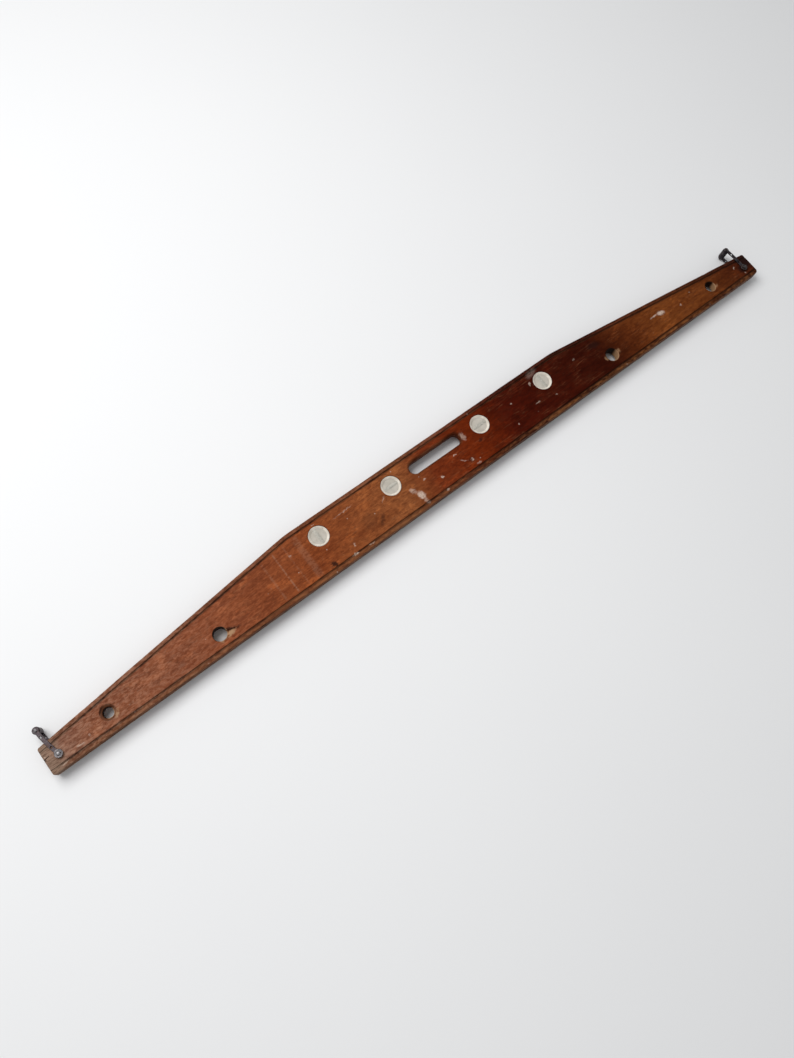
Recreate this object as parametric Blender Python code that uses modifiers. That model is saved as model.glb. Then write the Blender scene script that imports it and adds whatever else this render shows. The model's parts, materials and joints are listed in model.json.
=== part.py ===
"""Mason's level: a long tapered hardwood board with four vial windows, a hand slot,
four through-holes and a swinging U-shaped stirrup riveted to each end.

Frame: X along the board, Y across it from the straight working edge (-Y) to the tapered
edge (+Y), Z out of the front face.  The level lies on its back, so Z = 0 is the level of
its rear rivet heads.  X = 0 and Y = 0 are the middle of the board's length and width.
"""
import math

import bmesh
import bpy
from mathutils import Matrix, Vector

# ---------------------------------------------------------------- driving dimensions (m)
GAP = 0.0003                # running gap, and the gap between touching pieces

BOARD_LENGTH = 1.2192       # 48 in
BOARD_WIDTH = 0.0806        # across the middle, where the top edge is flat
END_WIDTH = 0.0372          # across each end
BOARD_THICKNESS = 0.0150
KINK_X = 0.2347             # where the flat top edge turns into the tapers
KINK_RADIUS = 0.160
EDGE_BEVEL = 0.0011
CORNER_RADIUS = 0.0020
WORN_CORNER_RADIUS = 0.0045     # the right end's lower corner is worn round

GROOVE_MARGIN = 0.0062      # scribed line to the board's edge
GROOVE_DEPTH = 0.0010

SLOT_Y = 0.0557             # heights are from the working edge
SLOT_LENGTH = 0.0868
SLOT_HEIGHT = 0.0162
SLOT_CHAMFER = 0.0032

WINDOW_Y = 0.0538
LEVEL_WINDOW_X = 0.0784     # inner pair, vials along the board
PLUMB_WINDOW_X = 0.1973     # outer pair, vials across the board
WINDOW_RADIUS = 0.0143
WINDOW_CHAMFER = 0.0004

# name: x, height, bore radius, countersink radius
THROUGH_HOLES = {
    "left_end": (-0.5246, 0.0244, 0.0065, 0.0102),
    "left_inner": (-0.3695, 0.0234, 0.0089, 0.0095),
    "right_inner": (0.3120, 0.0261, 0.0099, 0.0105),
    "right_end": (0.5238, 0.0244, 0.0082, 0.0098),
}

PLASTER_RECESS = 0.0008     # plaster face below the board's face
DISH_RIM_RADIUS = 0.0122
DISH_FLOOR_RADIUS = 0.0112
DISH_FLOOR = 0.0040         # dish floor to the middle of the board's thickness

VIAL_RADIUS = 0.0050
VIAL_WALL = 0.0013
VIAL_LENGTH = 0.0240
VIAL_NOSE = 0.0020          # rounding of the vial's closed end
SEAL_LENGTH = 0.0022
BUBBLE_LENGTH = 0.0070
BUBBLE_SINK = 0.0006        # bubble's axis below the inside of the vial

PIVOT_X = 0.5920
PIVOT_Y = 0.0180
PIVOT_RADIUS = 0.0020
RIVET_HEAD_RADIUS = 0.0025
RIVET_HEAD_HEIGHT = 0.0016
WASHER_RADIUS = 0.0050
WASHER_THICKNESS = 0.0012

ARM_REACH = 0.0385          # pivot centre to cross pin centre
ARM_WIDTH = 0.0050
ARM_THICKNESS = 0.0016
ARM_BOW = 0.0011            # how far the arm bows out of the straight
ARM_EYE_RADIUS = 0.0039
ARM_HOLES = (0.0112, 0.0281)    # spare holes, from the pivot
ARM_HOLE_RADIUS = 0.0014
LEFT_LEAN = math.radians(11.1)      # outwards at rest
RIGHT_LEAN = math.radians(-1.3)     # a little inwards at rest

CROSS_PIN_RADIUS = 0.0017
CROSS_PIN_HEAD_RADIUS = 0.0024
CROSS_PIN_FRONT_HEAD = 0.0008
ROLLER_RADIUS = 0.0046

METAL_EASE = 0.0003         # eased edges of arms and washers
ROLLER_EASE = 0.0005
CUT_PAST = 0.0010           # how far a cutter runs past the face it cuts

# ---------------------------------------------------------------- heights worked out
BACK_Z = 3 * GAP + ARM_THICKNESS + WASHER_THICKNESS + RIVET_HEAD_HEIGHT
FRONT_Z = BACK_Z + BOARD_THICKNESS
MID_Z = (BACK_Z + FRONT_Z) / 2
REAR_ARM_Z = BACK_Z - GAP - ARM_THICKNESS
FRONT_ARM_Z = FRONT_Z + GAP
REAR_WASHER_Z = REAR_ARM_Z - GAP - WASHER_THICKNESS
FRONT_WASHER_Z = FRONT_ARM_Z + ARM_THICKNESS + GAP
HEAD_SEAT_Z = FRONT_WASHER_Z + WASHER_THICKNESS + GAP
PLASTER_HALF = BOARD_THICKNESS / 2 - PLASTER_RECESS


def across(height):
    """Y of a height above the working edge."""
    return height - BOARD_WIDTH / 2


# ---------------------------------------------------------------- scene helpers
for old in list(bpy.data.objects):
    bpy.data.objects.remove(old, do_unlink=True)

PARTS = bpy.data.collections.new("masons_level")
CUTTERS = bpy.data.collections.new("cutters")
bpy.context.scene.collection.children.link(PARTS)
bpy.context.scene.collection.children.link(CUTTERS)


def make_material(name, color, roughness, metallic=0.0, alpha=1.0):
    material = bpy.data.materials.new(name)
    material.use_nodes = True
    shader = material.node_tree.nodes["Principled BSDF"]
    shader.inputs["Base Color"].default_value = (*color, 1.0)
    shader.inputs["Roughness"].default_value = roughness
    shader.inputs["Metallic"].default_value = metallic
    shader.inputs["Alpha"].default_value = alpha
    material.diffuse_color = (*color, alpha)
    return material


WOOD = make_material("mahogany", (0.155, 0.045, 0.018), 0.45)
PLASTER = make_material("plaster", (0.66, 0.62, 0.55), 0.85)
GLASS = make_material("vial_glass", (0.72, 0.76, 0.72), 0.08, alpha=0.35)
SEAL = make_material("vial_seal", (0.60, 0.55, 0.45), 0.6)
SPIRIT = make_material("spirit", (0.70, 0.74, 0.62), 0.05, alpha=0.45)
DARK_STEEL = make_material("dark_steel", (0.045, 0.038, 0.042), 0.5, 0.9)
PALE_STEEL = make_material("pale_steel", (0.42, 0.40, 0.40), 0.45, 0.9)


def add_part(obj, material):
    """Put a finished piece in the level's collection, with its material."""
    for collection in list(obj.users_collection):
        collection.objects.unlink(obj)
    PARTS.objects.link(obj)
    obj.data.materials.clear()
    obj.data.materials.append(material)
    obj.data.shade_smooth()
    obj.data.set_sharp_from_angle(angle=math.radians(35))
    return obj


def add_cutter(obj):
    for collection in list(obj.users_collection):
        collection.objects.unlink(obj)
    CUTTERS.objects.link(obj)
    obj.hide_render = True
    obj.display_type = "WIRE"
    return obj


def cut(obj, cutter):
    """Subtract cutter from obj with a live Boolean."""
    modifier = obj.modifiers.new("cut_" + cutter.name, "BOOLEAN")
    modifier.operation = "DIFFERENCE"
    modifier.solver = "EXACT"
    modifier.object = cutter


def rounded_outline(corners, segments=6):
    """Points of a closed polygon whose corners (x, y, radius) are filleted with arcs."""
    points = []
    count = len(corners)
    for index, (x, y, radius) in enumerate(corners):
        corner = Vector((x, y))
        before = (Vector(corners[index - 1][:2]) - corner).normalized()
        after = (Vector(corners[(index + 1) % count][:2]) - corner).normalized()
        half_angle = before.angle(after) / 2
        centre = corner + (before + after).normalized() * radius / math.sin(half_angle)
        start = corner + before * radius / math.tan(half_angle) - centre
        end = corner + after * radius / math.tan(half_angle) - centre
        turn = start.angle_signed(end)
        for step in range(segments + 1):
            angle = -turn * step / segments
            points.append(centre + Matrix.Rotation(angle, 2) @ start)
    return points


def flat_solid(name, points, low_z, high_z, chamfer=0.0, rounding=0):
    """A closed flat solid between two heights, made from a filled 2D curve.

    A chamfer swells the outline at mid-height and keeps it at the two faces, and
    rounding adds steps to it.
    """
    curve = bpy.data.curves.new(name, "CURVE")
    curve.dimensions = "2D"
    curve.fill_mode = "BOTH"
    curve.extrude = (high_z - low_z) / 2 - chamfer
    curve.bevel_depth = chamfer
    curve.bevel_resolution = rounding
    spline = curve.splines.new("POLY")
    spline.points.add(len(points) - 1)
    for point, place in zip(spline.points, points):
        point.co = (place[0], place[1], 0.0, 1.0)
    spline.use_cyclic_u = True
    source = bpy.data.objects.new(name + "_outline", curve)
    source.location.z = (low_z + high_z) / 2
    bpy.context.scene.collection.objects.link(source)
    bpy.context.view_layer.update()
    evaluated = source.evaluated_get(bpy.context.evaluated_depsgraph_get())
    mesh = bpy.data.meshes.new_from_object(evaluated)
    mesh.name = name
    work = bmesh.new()
    work.from_mesh(mesh)
    bmesh.ops.remove_doubles(work, verts=work.verts, dist=1e-6)
    bmesh.ops.recalc_face_normals(work, faces=work.faces)
    work.to_mesh(mesh)
    work.free()
    solid = bpy.data.objects.new(name, mesh)
    solid.matrix_world = source.matrix_world
    bpy.context.scene.collection.objects.link(solid)
    bpy.data.objects.remove(source, do_unlink=True)
    return solid


def turned(name, profile, steps):
    """A turned piece about Z: profile points are (radius, z), outer side top to bottom.

    A profile that starts off the axis is a ring's, so its last point joins its first.
    """
    mesh = bpy.data.meshes.new(name)
    edges = [(i, i + 1) for i in range(len(profile) - 1)]
    if profile[0][0] > 0.0:
        edges.append((len(profile) - 1, 0))
    mesh.from_pydata([(r, 0.0, z) for r, z in profile], edges, [])
    piece = bpy.data.objects.new(name, mesh)
    bpy.context.scene.collection.objects.link(piece)
    screw = piece.modifiers.new("turn", "SCREW")
    screw.axis = "Z"
    screw.angle = math.tau
    screw.steps = steps
    screw.render_steps = steps
    screw.use_merge_vertices = True
    screw.merge_threshold = 0.00001
    screw.use_smooth_shade = True
    bpy.context.view_layer.update()
    evaluated = piece.evaluated_get(bpy.context.evaluated_depsgraph_get())
    turned_mesh = bpy.data.meshes.new_from_object(evaluated)
    turned_mesh.name = name
    piece.modifiers.clear()
    piece.data = turned_mesh
    bpy.data.meshes.remove(mesh)
    return piece


def cylinder(name, radius, low, high, segments):
    """A closed cylinder about Z between two heights."""
    work = bmesh.new()
    bmesh.ops.create_cone(work, cap_ends=True, segments=segments, radius1=radius,
                          radius2=radius, depth=high - low,
                          matrix=Matrix.Translation((0, 0, (low + high) / 2)))
    mesh = bpy.data.meshes.new(name)
    work.to_mesh(mesh)
    work.free()
    piece = bpy.data.objects.new(name, mesh)
    bpy.context.scene.collection.objects.link(piece)
    return piece


def dome(radius, seat, tip, steps=3):
    """Profile of a peened head, flat at its tip and round at its rim, down to its seat."""
    rise = tip - seat
    flat = 0.45 * radius
    points = [(0.0, tip)]
    for step in range(steps + 1):
        angle = math.radians(90) * (1 - step / steps)
        points.append((flat + (radius - flat) * math.cos(angle), seat + rise * math.sin(angle)))
    return points


# ---------------------------------------------------------------- the board
def board_outline():
    """Outline of the board's flat faces, inside the rounded edges."""
    half = BOARD_LENGTH / 2 - EDGE_BEVEL
    low = across(EDGE_BEVEL)
    end_high = across(END_WIDTH - EDGE_BEVEL)
    high = across(BOARD_WIDTH - EDGE_BEVEL)
    return rounded_outline([
        (-half, low, CORNER_RADIUS),
        (half, low, WORN_CORNER_RADIUS),
        (half, end_high, CORNER_RADIUS),
        (KINK_X, high, KINK_RADIUS),
        (-KINK_X, high, KINK_RADIUS),
        (-half, end_high, CORNER_RADIUS),
    ])


def stadium(x, y, length, height, steps=14):
    """Points of a slot's outline: two half circles joined by straight sides."""
    radius = height / 2
    points = []
    for side, first_angle in ((1, -90), (-1, 90)):
        centre_x = x + side * (length / 2 - radius)
        for step in range(steps + 1):
            angle = math.radians(first_angle + 180 * step / steps)
            points.append((centre_x + radius * math.cos(angle), y + radius * math.sin(angle)))
    return points


def slot_cutter():
    """The hand slot with its chamfered rims, as one solid of stacked outlines."""
    flare = SLOT_CHAMFER + CUT_PAST
    levels = (
        (FRONT_Z + CUT_PAST, flare),
        (FRONT_Z - SLOT_CHAMFER, 0.0),
        (BACK_Z + SLOT_CHAMFER, 0.0),
        (BACK_Z - CUT_PAST, flare),
    )
    work = bmesh.new()
    rings = []
    for z, swell in levels:
        outline = stadium(0.0, across(SLOT_Y), SLOT_LENGTH + 2 * swell, SLOT_HEIGHT + 2 * swell)
        rings.append([work.verts.new((x, y, z)) for x, y in outline])
    count = len(rings[0])
    for upper, lower in zip(rings, rings[1:]):
        for index in range(count):
            after = (index + 1) % count
            work.faces.new((upper[index], lower[index], lower[after], upper[after]))
    work.faces.new(rings[0])
    work.faces.new(reversed(rings[-1]))
    bmesh.ops.recalc_face_normals(work, faces=work.faces)
    mesh = bpy.data.meshes.new("slot")
    work.to_mesh(mesh)
    work.free()
    cutter = bpy.data.objects.new("slot", mesh)
    bpy.context.scene.collection.objects.link(cutter)
    return add_cutter(cutter)


def groove_bar(name, start, end, face_z, outwards):
    """A square bar on its edge, whose inner corner cuts a V groove along a line.

    Its middle stands off the face, so that its two side corners clear it.
    """
    start = Vector((*start, face_z + outwards * GROOVE_DEPTH))
    end = Vector((*end, face_z + outwards * GROOVE_DEPTH))
    run = end - start
    bpy.ops.mesh.primitive_cube_add(size=1.0)
    bar = bpy.context.active_object
    bar.name = name
    side = 2 * GROOVE_DEPTH * math.sqrt(2)
    length = run.length + 2 * GROOVE_DEPTH      # so that neighbours overlap at a bend
    bar.data.transform(Matrix.Diagonal((length, side, side, 1.0)))
    bar.data.transform(Matrix.Rotation(math.radians(45), 4, "X"))
    bar.rotation_euler.z = math.atan2(run.y, run.x)
    bar.location = (start + end) / 2
    return add_cutter(bar)


def groove_lines():
    """The scribed lines: one by the working edge, three by the tapered edge."""
    half = BOARD_LENGTH / 2
    overrun = 0.004
    slope = (BOARD_WIDTH - END_WIDTH) / (half - KINK_X)
    drop = GROOVE_MARGIN * math.sqrt(1 + slope * slope)
    bend_x = KINK_X + (drop - GROOVE_MARGIN) / slope
    high = across(BOARD_WIDTH - GROOVE_MARGIN)
    low = across(END_WIDTH - drop - slope * overrun)
    reach = half + overrun
    return {
        "working": ((-reach, across(GROOVE_MARGIN)), (reach, across(GROOVE_MARGIN))),
        "left_taper": ((-reach, low), (-bend_x, high)),
        "flat": ((-bend_x, high), (bend_x, high)),
        "right_taper": ((bend_x, high), (reach, low)),
    }


def hole_cutter(name, x, height, bore, sink):
    """A through-hole with the same countersink on both faces."""
    depth = sink - bore
    profile = [
        (0.0, FRONT_Z + CUT_PAST),
        (sink + CUT_PAST, FRONT_Z + CUT_PAST),
        (bore, FRONT_Z - depth),
        (bore, BACK_Z + depth),
        (sink + CUT_PAST, BACK_Z - CUT_PAST),
        (0.0, BACK_Z - CUT_PAST),
    ]
    cutter = turned(name, profile, steps=32)
    cutter.location = (x, across(height), 0.0)
    return add_cutter(cutter)


def make_board():
    board = flat_solid("board", board_outline(), BACK_Z, FRONT_Z, EDGE_BEVEL, rounding=1)
    for face, face_z, outwards in (("front", FRONT_Z, 1), ("back", BACK_Z, -1)):
        for line, (start, end) in groove_lines().items():
            cut(board, groove_bar("groove_" + face + "_" + line, start, end, face_z, outwards))

    cut(board, slot_cutter())
    for name, (x, height, bore, sink) in THROUGH_HOLES.items():
        cut(board, hole_cutter("hole_" + name, x, height, bore, sink))

    for name, x, _ in WINDOWS:
        cut(board, hole_cutter("bore_" + name, x, WINDOW_Y, WINDOW_RADIUS,
                               WINDOW_RADIUS + WINDOW_CHAMFER))

    for side, x in (("left", -PIVOT_X), ("right", PIVOT_X)):
        bore = cylinder("pivot_bore_" + side, PIVOT_RADIUS + GAP, BACK_Z - CUT_PAST,
                        FRONT_Z + CUT_PAST, 20)
        bore.location = (x, across(PIVOT_Y), 0.0)
        cut(board, add_cutter(bore))

    return add_part(board, WOOD)


# ---------------------------------------------------------------- vial windows
# name, x, turn of the vial from +X
WINDOWS = (
    ("left_plumb", -PLUMB_WINDOW_X, math.radians(90)),
    ("left_level", -LEVEL_WINDOW_X, 0.0),
    ("right_level", LEVEL_WINDOW_X, 0.0),
    ("right_plumb", PLUMB_WINDOW_X, math.radians(90)),
)


def make_window(name, x, vial_turn):
    """One window: cast plaster, dished on both faces, round a sealed glass vial."""
    centre = Matrix.Translation((x, across(WINDOW_Y), MID_Z))
    along_vial = centre @ Matrix.Rotation(vial_turn, 4, "Z") @ Matrix.Rotation(
        math.radians(90), 4, "Y")

    outer = WINDOW_RADIUS - GAP
    plaster = turned(name + "_plaster", [
        (0.0, DISH_FLOOR),
        (DISH_FLOOR_RADIUS, DISH_FLOOR),
        (DISH_RIM_RADIUS, PLASTER_HALF),
        (outer, PLASTER_HALF),
        (outer, -PLASTER_HALF),
        (DISH_RIM_RADIUS, -PLASTER_HALF),
        (DISH_FLOOR_RADIUS, -DISH_FLOOR),
        (0.0, -DISH_FLOOR),
    ], steps=32)
    plaster.matrix_world = centre
    half = VIAL_LENGTH / 2
    bed = cylinder(name + "_bed", VIAL_RADIUS + GAP, -half - GAP, half + GAP, 24)
    bed.matrix_world = along_vial
    cut(plaster, add_cutter(bed))
    add_part(plaster, PLASTER)

    inner = VIAL_RADIUS - VIAL_WALL
    floor = -half + VIAL_WALL
    inner_nose = VIAL_NOSE / 2
    eased = 0.3                 # share of the nose that its middle point stands off
    vial = turned(name + "_vial", [
        (0.0, floor),
        (inner - inner_nose, floor),
        (inner, floor + inner_nose),
        (inner, half),
        (VIAL_RADIUS, half),
        (VIAL_RADIUS, -half + VIAL_NOSE),
        (VIAL_RADIUS - VIAL_NOSE * eased, -half + VIAL_NOSE * eased),
        (VIAL_RADIUS - VIAL_NOSE, -half),
        (0.0, -half),
    ], steps=20)
    vial.matrix_world = along_vial
    add_part(vial, GLASS)

    seal_ease = 0.0005
    seal_top = half - 0.0001    # just inside the vial's open end
    seal = turned(name + "_vial_seal", [
        (0.0, seal_top),
        (inner - GAP - seal_ease, seal_top),
        (inner - GAP, seal_top - seal_ease),
        (inner - GAP, half - SEAL_LENGTH),
        (0.0, half - SEAL_LENGTH),
    ], steps=20)
    seal.matrix_world = along_vial
    add_part(seal, SEAL)

    low = floor + GAP
    high = half - SEAL_LENGTH - GAP
    spirit = turned(name + "_spirit", [
        (0.0, high),
        (inner - GAP, high),
        (inner - GAP, low + inner_nose),
        (inner - GAP - inner_nose, low),
        (0.0, low),
    ], steps=20)
    spirit.matrix_world = along_vial
    bubble = turned(name + "_bubble", [
        (BUBBLE_LENGTH / 4 * math.sin(math.pi * step / 6),
         BUBBLE_LENGTH / 2 * math.cos(math.pi * step / 6)) for step in range(7)
    ], steps=12)
    bubble.matrix_world = Matrix.Translation((0, 0, inner - BUBBLE_SINK)) @ along_vial
    cut(spirit, add_cutter(bubble))
    add_part(spirit, SPIRIT)


# ---------------------------------------------------------------- end stirrups
def arm_outline(bow_sign, steps=6):
    """A bowed strip from the pivot eye at the origin to the pin eye at +Y."""
    sweep = 4 * math.atan(2 * ARM_BOW / ARM_REACH)
    bend_radius = ARM_REACH / 2 / math.sin(sweep / 2)
    middle = Vector((-math.sqrt(bend_radius ** 2 - ARM_REACH ** 2 / 4), ARM_REACH / 2))
    neck = math.asin(ARM_WIDTH / 2 / ARM_EYE_RADIUS)
    neck_run = ARM_EYE_RADIUS * math.cos(neck) / bend_radius
    sides = []
    for offset in (ARM_WIDTH / 2, -ARM_WIDTH / 2):
        side = []
        for step in range(steps + 1):
            angle = -sweep / 2 + neck_run + (sweep - 2 * neck_run) * step / steps
            reach = bend_radius + offset
            side.append(middle + Vector((reach * math.cos(angle), reach * math.sin(angle))))
        sides.append(side)
    eye_steps = 10
    tip = [Vector((ARM_EYE_RADIUS * math.sin(a), ARM_REACH + ARM_EYE_RADIUS * math.cos(a)))
           for a in (math.pi - neck - (math.tau - 2 * neck) * step / eye_steps
                     for step in range(1, eye_steps))]
    heel = [Vector((point.x, ARM_REACH - point.y)) for point in tip]
    outline = sides[0] + tip + sides[1][::-1] + heel[::-1]
    return [Vector((bow_sign * point.x, point.y)) for point in outline]


def make_arm(name, low_z, frame, bow_sign):
    arm = flat_solid(name, arm_outline(bow_sign), low_z, low_z + ARM_THICKNESS)
    arm.matrix_world = frame @ arm.matrix_world
    bevel = arm.modifiers.new("eased_edges", "BEVEL")
    bevel.width = METAL_EASE
    bevel.segments = 1
    bevel.limit_method = "ANGLE"
    bevel.angle_limit = math.radians(60)
    bores = [
        ("pivot", 0.0, 0.0, PIVOT_RADIUS + GAP),
        ("pin", 0.0, ARM_REACH, CROSS_PIN_RADIUS + GAP),
    ]
    for index, reach in enumerate(ARM_HOLES):
        along = 2 * reach / ARM_REACH - 1
        bow = bow_sign * ARM_BOW * (1 - along * along)
        bores.append(("spare_%d" % (index + 1), bow, reach, ARM_HOLE_RADIUS))
    for label, x, y, radius in bores:
        drill = cylinder(name + "_" + label, radius, low_z - CUT_PAST,
                         low_z + ARM_THICKNESS + CUT_PAST, 16)
        drill.matrix_world = frame @ Matrix.Translation((x, y, 0.0))
        cut(arm, add_cutter(drill))
    return add_part(arm, DARK_STEEL)


def make_washer(name, low_z, frame):
    inner = PIVOT_RADIUS + GAP
    high_z = low_z + WASHER_THICKNESS
    washer = turned(name, [
        (inner, low_z),
        (inner, high_z),
        (WASHER_RADIUS - METAL_EASE, high_z),
        (WASHER_RADIUS, high_z - METAL_EASE),
        (WASHER_RADIUS, low_z + METAL_EASE),
        (WASHER_RADIUS - METAL_EASE, low_z),
    ], steps=24)
    washer.matrix_world = frame
    return add_part(washer, PALE_STEEL)


def make_stirrup(side, lean):
    """Rivet, washers, two arms, cross pin and roller at one end of the board."""
    sign = -1 if side == "left" else 1
    pivot = Matrix.Translation((sign * PIVOT_X, across(PIVOT_Y), 0.0))
    swung = pivot @ Matrix.Rotation(-sign * lean, 4, "Z")

    rivet = turned(side + "_pivot_rivet",
                   dome(RIVET_HEAD_RADIUS, HEAD_SEAT_Z, HEAD_SEAT_Z + RIVET_HEAD_HEIGHT)
                   + [(PIVOT_RADIUS, HEAD_SEAT_Z), (PIVOT_RADIUS, RIVET_HEAD_HEIGHT)]
                   + [(r, z) for r, z in reversed(dome(RIVET_HEAD_RADIUS,
                                                       RIVET_HEAD_HEIGHT, 0.0))],
                   steps=16)
    rivet.matrix_world = pivot
    add_part(rivet, DARK_STEEL)
    make_washer(side + "_front_washer", FRONT_WASHER_Z, pivot)
    make_washer(side + "_rear_washer", REAR_WASHER_Z, pivot)

    make_arm(side + "_front_arm", FRONT_ARM_Z, swung, sign)
    make_arm(side + "_rear_arm", REAR_ARM_Z, swung, sign)

    pin_frame = swung @ Matrix.Translation((0.0, ARM_REACH, 0.0))
    front_seat = FRONT_ARM_Z + ARM_THICKNESS + GAP
    rear_seat = REAR_ARM_Z - GAP
    pin = turned(side + "_cross_pin",
                 dome(CROSS_PIN_HEAD_RADIUS, front_seat, front_seat + CROSS_PIN_FRONT_HEAD)
                 + [(CROSS_PIN_RADIUS, front_seat), (CROSS_PIN_RADIUS, rear_seat),
                    (CROSS_PIN_HEAD_RADIUS, rear_seat)]
                 + [(r, z) for r, z in reversed(dome(CROSS_PIN_HEAD_RADIUS,
                                                     rear_seat / 2, 0.0))],
                 steps=16)
    pin.matrix_world = pin_frame
    add_part(pin, PALE_STEEL)

    bore = CROSS_PIN_RADIUS + GAP
    roller = turned(side + "_roller", [
        (bore, BACK_Z),
        (bore, FRONT_Z),
        (ROLLER_RADIUS - ROLLER_EASE, FRONT_Z),
        (ROLLER_RADIUS, FRONT_Z - ROLLER_EASE),
        (ROLLER_RADIUS, BACK_Z + ROLLER_EASE),
        (ROLLER_RADIUS - ROLLER_EASE, BACK_Z),
    ], steps=24)
    roller.matrix_world = pin_frame
    add_part(roller, DARK_STEEL)


make_board()
for window in WINDOWS:
    make_window(*window)
make_stirrup("left", LEFT_LEAN)
make_stirrup("right", RIGHT_LEAN)
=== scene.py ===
"""The looks of an old wooden mason's level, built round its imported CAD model.

The level lies on its back: X along the board, Y from the straight working edge to the
tapered edge, Z up out of the front face.  Lengths are in metres, apart from the tables
of small marks and chips, which are in millimetres.
"""
import json
import math
from types import SimpleNamespace

import bmesh
import bpy
from mathutils import Matrix, Vector, noise


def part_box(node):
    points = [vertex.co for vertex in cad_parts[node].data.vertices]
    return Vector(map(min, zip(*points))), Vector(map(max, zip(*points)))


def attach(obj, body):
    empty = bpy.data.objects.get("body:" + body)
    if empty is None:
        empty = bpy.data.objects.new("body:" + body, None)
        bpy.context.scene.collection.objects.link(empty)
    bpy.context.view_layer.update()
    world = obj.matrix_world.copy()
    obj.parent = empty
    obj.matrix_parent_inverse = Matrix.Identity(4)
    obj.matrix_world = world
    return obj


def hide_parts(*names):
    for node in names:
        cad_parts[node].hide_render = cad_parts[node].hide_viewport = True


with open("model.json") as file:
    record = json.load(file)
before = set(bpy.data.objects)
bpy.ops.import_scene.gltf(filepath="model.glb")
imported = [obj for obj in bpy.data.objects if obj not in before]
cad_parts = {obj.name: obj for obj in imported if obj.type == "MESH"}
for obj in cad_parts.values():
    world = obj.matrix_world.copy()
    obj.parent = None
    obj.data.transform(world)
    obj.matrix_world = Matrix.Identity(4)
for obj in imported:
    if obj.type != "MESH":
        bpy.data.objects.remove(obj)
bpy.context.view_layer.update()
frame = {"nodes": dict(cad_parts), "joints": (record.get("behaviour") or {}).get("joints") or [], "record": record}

# ---- sizes from the frame
BOARD_LOW, BOARD_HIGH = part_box("board")
HALF_LENGTH = BOARD_HIGH.x
HALF_WIDTH = BOARD_HIGH.y
BACK_Z = BOARD_LOW.z
FRONT_Z = BOARD_HIGH.z
MID_Z = (BACK_Z + FRONT_Z) / 2
JOINTS = {joint["name"]: joint for joint in frame["joints"]}
OPENINGS = {entry["name"]: entry["box_m"] for entry in frame["record"]["physics"]["openings"]}

# the board's outline, which the frame holds only as a mesh
END_WIDTH = 0.0372
KINK_X = 0.2347
KINK_RADIUS = 0.16
GROOVE_MARGIN = 0.0062
CORNER_RADIUS = 0.0031
WORN_CORNER_RADIUS = 0.0056
TAPER = (2 * HALF_WIDTH - END_WIDTH) / (HALF_LENGTH - KINK_X)

SLOT_LENGTH = 0.0868
SLOT_HEIGHT = 0.0162
SLOT_ROUNDING = 0.005       # the slot's rims are worn and eased this much
WINDOW_RADIUS = 0.0143
WINDOWS = ("left_plumb", "left_level", "right_level", "right_plumb")

# through-hole: bore radius, countersink radius
HOLE_SIZES = {
    "left_end_hole": (0.0065, 0.0102),
    "left_inner_hole": (0.0089, 0.0095),
    "right_inner_hole": (0.0099, 0.0105),
    "right_end_hole": (0.0082, 0.0098),
}


def height(above_edge):
    """Y of a height above the working edge."""
    return above_edge - HALF_WIDTH


def box_centre(box):
    low, high = box
    return (Vector(low) + Vector(high)) / 2


# ---- camera, light and floor
CAMERA_PLACE = (-0.3977, -0.2163, 1.0114)
CAMERA_TURN = (17.649, -6.764, -38.088)  # degrees about X, Y and Z
CAMERA_LENS = 27.22         # mm, for 36 mm on the long side

scene = bpy.context.scene
scene.view_settings.view_transform = "Standard"


def make_camera():
    data = bpy.data.cameras.new("camera")
    data.lens = CAMERA_LENS
    data.sensor_width = 36.0
    data.sensor_fit = "AUTO"
    data.clip_start = 0.01
    data.clip_end = 50.0
    camera = bpy.data.objects.new("camera", data)
    camera.location = CAMERA_PLACE
    camera.rotation_euler = [math.radians(angle) for angle in CAMERA_TURN]
    scene.collection.objects.link(camera)
    scene.camera = camera


def make_area_light(name, place, target, size, watts):
    data = bpy.data.lights.new(name, "AREA")
    data.shape = "SQUARE"
    data.size = size
    data.energy = watts
    light = bpy.data.objects.new(name, data)
    light.location = place
    aim = Vector(target) - Vector(place)
    light.rotation_euler = aim.to_track_quat("-Z", "Y").to_euler()
    scene.collection.objects.link(light)


def make_world(strength):
    world = bpy.data.worlds.new("studio")
    world.use_nodes = True
    background = world.node_tree.nodes["Background"]
    background.inputs["Color"].default_value = (0.97, 0.985, 1.0, 1.0)
    background.inputs["Strength"].default_value = strength
    scene.world = world


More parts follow.
